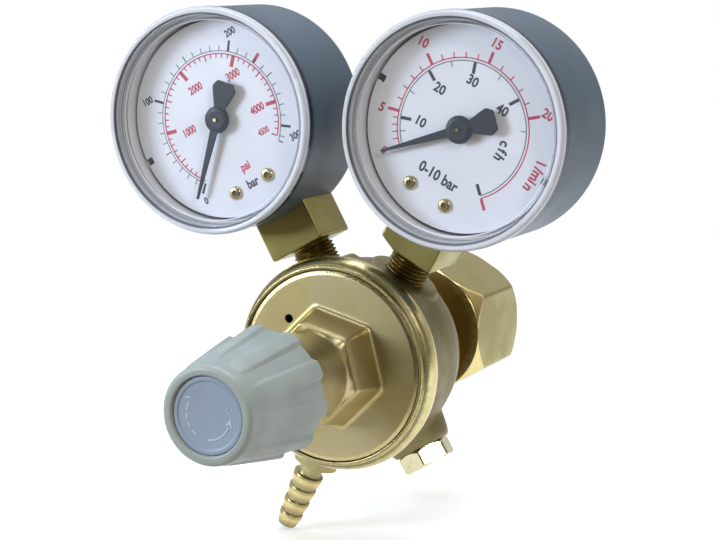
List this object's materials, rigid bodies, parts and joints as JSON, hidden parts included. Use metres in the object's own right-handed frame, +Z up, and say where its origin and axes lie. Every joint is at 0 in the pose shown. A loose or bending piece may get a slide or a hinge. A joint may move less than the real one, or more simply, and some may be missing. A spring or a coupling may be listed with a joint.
{
  "type": "gas cylinder regulator",
  "caption": "Brass gas regulator with a fluted adjusting knob, contents and flow gauges, barbed hose tail, relief valve and inlet nut for a gas cylinder.",
  "frame": {"origin": "centre of the inlet's sealing face, where the nut's thread begins", "axes": "+Y out of the inlet towards the cylinder valve, -Y towards the adjusting knob, +Z up between the two gauges, +X to the right when facing the dials"},
  "size_m": [0.108, 0.1246, 0.1202],
  "materials": {
    "cast_brass": "fine sand-blasted forging, polished on the bead and boss tops",
    "turned_brass": "turned and milled, fine tool marks",
    "nut_brass": "brushed flats, turned chamfers",
    "spring_steel": "oil-hardened wire, bright",
    "plated_steel": "zinc plated",
    "diaphragm_aluminium": "pressed, satin",
    "diaphragm_rubber": "fabric-reinforced sheet, matt",
    "seal_nylon": "moulded, matt",
    "gasket_fibre": "red fibre, matt",
    "sintered_bronze": "porous sintered bronze",
    "copper": "annealed copper, dull",
    "bourdon_bronze": "drawn tube, satin",
    "knob_plastic": "moulded, satin",
    "cap_plastic": "moulded, satin, raised arrows",
    "case_steel": "dark grey paint, matt",
    "window_clear": "clear moulded plastic, polished",
    "dial_white": "white enamel with printed scales",
    "pointer_black": "black paint, matt"
  },
  "bodies": {
    "root": {"body_forging": "cast_brass", "bonnet": "cast_brass", "inlet_nipple": "turned_brass", "hose_tail": "turned_brass", "relief_housing": "turned_brass", "nozzle": "turned_brass", "flow_orifice": "turned_brass", "contents_socket": "turned_brass", "flow_socket": "turned_brass", "contents_movement_frame": "turned_brass", "flow_movement_frame": "turned_brass", "contents_dial_screws": "turned_brass", "flow_dial_screws": "turned_brass", "range_spring": "spring_steel", "closing_spring": "spring_steel", "relief_spring": "spring_steel", "contents_hairspring": "spring_steel", "flow_hairspring": "spring_steel", "slip_ring": "plated_steel", "contents_frame_screws": "plated_steel", "flow_frame_screws": "plated_steel", "diaphragm": "diaphragm_rubber", "inlet_seal": "seal_nylon", "nipple_gasket": "gasket_fibre", "inlet_filter": "sintered_bronze", "contents_stem_washer": "copper", "flow_stem_washer": "copper", "contents_bourdon_tube": "bourdon_bronze", "flow_bourdon_tube": "bourdon_bronze", "contents_case": "case_steel", "flow_case": "case_steel", "contents_window": "window_clear", "flow_window": "window_clear", "contents_dial": "dial_white", "flow_dial": "dial_white"},
    "button": {"spring_button": "plated_steel"},
    "adjuster": {"adjusting_screw": "plated_steel", "adjusting_knob": "knob_plastic", "knob_screw": "plated_steel", "knob_cap": "cap_plastic"},
    "valve_train": {"diaphragm_plate": "diaphragm_aluminium", "pusher_disc": "plated_steel", "valve_poppet": "plated_steel", "poppet_seat": "seal_nylon"},
    "nut": {"inlet_nut": "nut_brass"},
    "relief": {"relief_poppet": "plated_steel"},
    "contents_sector": {"contents_sector_gear": "turned_brass"},
    "contents_hand": {"contents_pinion": "turned_brass", "contents_pointer": "pointer_black"},
    "contents_rod": {"contents_link": "plated_steel"},
    "contents_tip": {"contents_tube_tip": "turned_brass"},
    "flow_sector": {"flow_sector_gear": "turned_brass"},
    "flow_hand": {"flow_pinion": "turned_brass", "flow_pointer": "pointer_black"},
    "flow_rod": {"flow_link": "plated_steel"},
    "flow_tip": {"flow_tube_tip": "turned_brass"}
  },
  "joints": [
    {"name": "button_slide", "type": "slide", "parent": "root", "child": "button", "axis": [0, 1, 0], "range_m": [0, 0.0075], "deforming": ["range_spring"]},
    {"name": "knob_turn", "type": "hinge", "parent": "button", "child": "adjuster", "pos_m": [0, -0.1, 0], "axis": [0, 1, 0], "range_deg": [0, 2160]},
    {"name": "diaphragm_stroke", "type": "slide", "parent": "root", "child": "valve_train", "axis": [0, 1, 0], "range_m": [0, 0.0009], "deforming": ["diaphragm", "closing_spring"]},
    {"name": "nut_turn", "type": "hinge", "parent": "root", "child": "nut", "pos_m": [0, 0, 0], "axis": [0, 1, 0], "continuous": true},
    {"name": "relief_lift", "type": "slide", "parent": "root", "child": "relief", "axis": [0.515, 0, -0.8572], "range_m": [0, 0.001], "stiffness_N_per_m": 1500, "springref_m": -0.001, "deforming": ["relief_spring"]},
    {"name": "contents_sector_turn", "type": "hinge", "parent": "root", "child": "contents_sector", "pos_m": [-0.02003, -0.05, 0.04555], "axis": [0, -1, 0], "range_deg": [0, 36]},
    {"name": "contents_pointer_turn", "type": "hinge", "parent": "root", "child": "contents_hand", "pos_m": [-0.02899, -0.05, 0.0523], "axis": [0, 1, 0], "range_deg": [0, 270], "deforming": ["contents_hairspring"]},
    {"name": "contents_link_turn", "type": "hinge", "parent": "contents_sector", "child": "contents_rod", "pos_m": [-0.01414, -0.05, 0.04669], "axis": [0, 1, 0], "range_deg": [0, 36]},
    {"name": "contents_tip_rise", "type": "slide", "parent": "root", "child": "contents_tip", "axis": [-0.4848, 0, 0.8746], "range_m": [0, 0.00371], "deforming": ["contents_bourdon_tube"]},
    {"name": "flow_sector_turn", "type": "hinge", "parent": "root", "child": "flow_sector", "pos_m": [0.02801, -0.05, 0.04112], "axis": [0, -1, 0], "range_deg": [0, 36]},
    {"name": "flow_pointer_turn", "type": "hinge", "parent": "root", "child": "flow_hand", "pos_m": [0.02899, -0.05, 0.0523], "axis": [0, 1, 0], "range_deg": [0, 270], "deforming": ["flow_hairspring"]},
    {"name": "flow_link_turn", "type": "hinge", "parent": "flow_sector", "child": "flow_rod", "pos_m": [0.03211, -0.05, 0.03674], "axis": [0, 1, 0], "range_deg": [0, 36]},
    {"name": "flow_tip_rise", "type": "slide", "parent": "root", "child": "flow_tip", "axis": [0.4848, 0, 0.8746], "range_m": [0, 0.00371], "deforming": ["flow_bourdon_tube"]}
  ],
  "couplings": [
    {"joint": "button_slide", "follows": "knob_turn", "m_per_rad": 0.00019894},
    {"joint": "diaphragm_stroke", "follows": "knob_turn", "m_per_rad": 0.000023873},
    {"joint": "contents_pointer_turn", "follows": "contents_sector_turn", "ratio": 7.5},
    {"joint": "contents_link_turn", "follows": "contents_sector_turn", "ratio": 1},
    {"joint": "contents_tip_rise", "follows": "contents_sector_turn", "m_per_rad": 0.0059018},
    {"joint": "flow_pointer_turn", "follows": "flow_sector_turn", "ratio": 7.5},
    {"joint": "flow_link_turn", "follows": "flow_sector_turn", "ratio": 1},
    {"joint": "flow_tip_rise", "follows": "flow_sector_turn", "m_per_rad": 0.0059018}
  ]
}
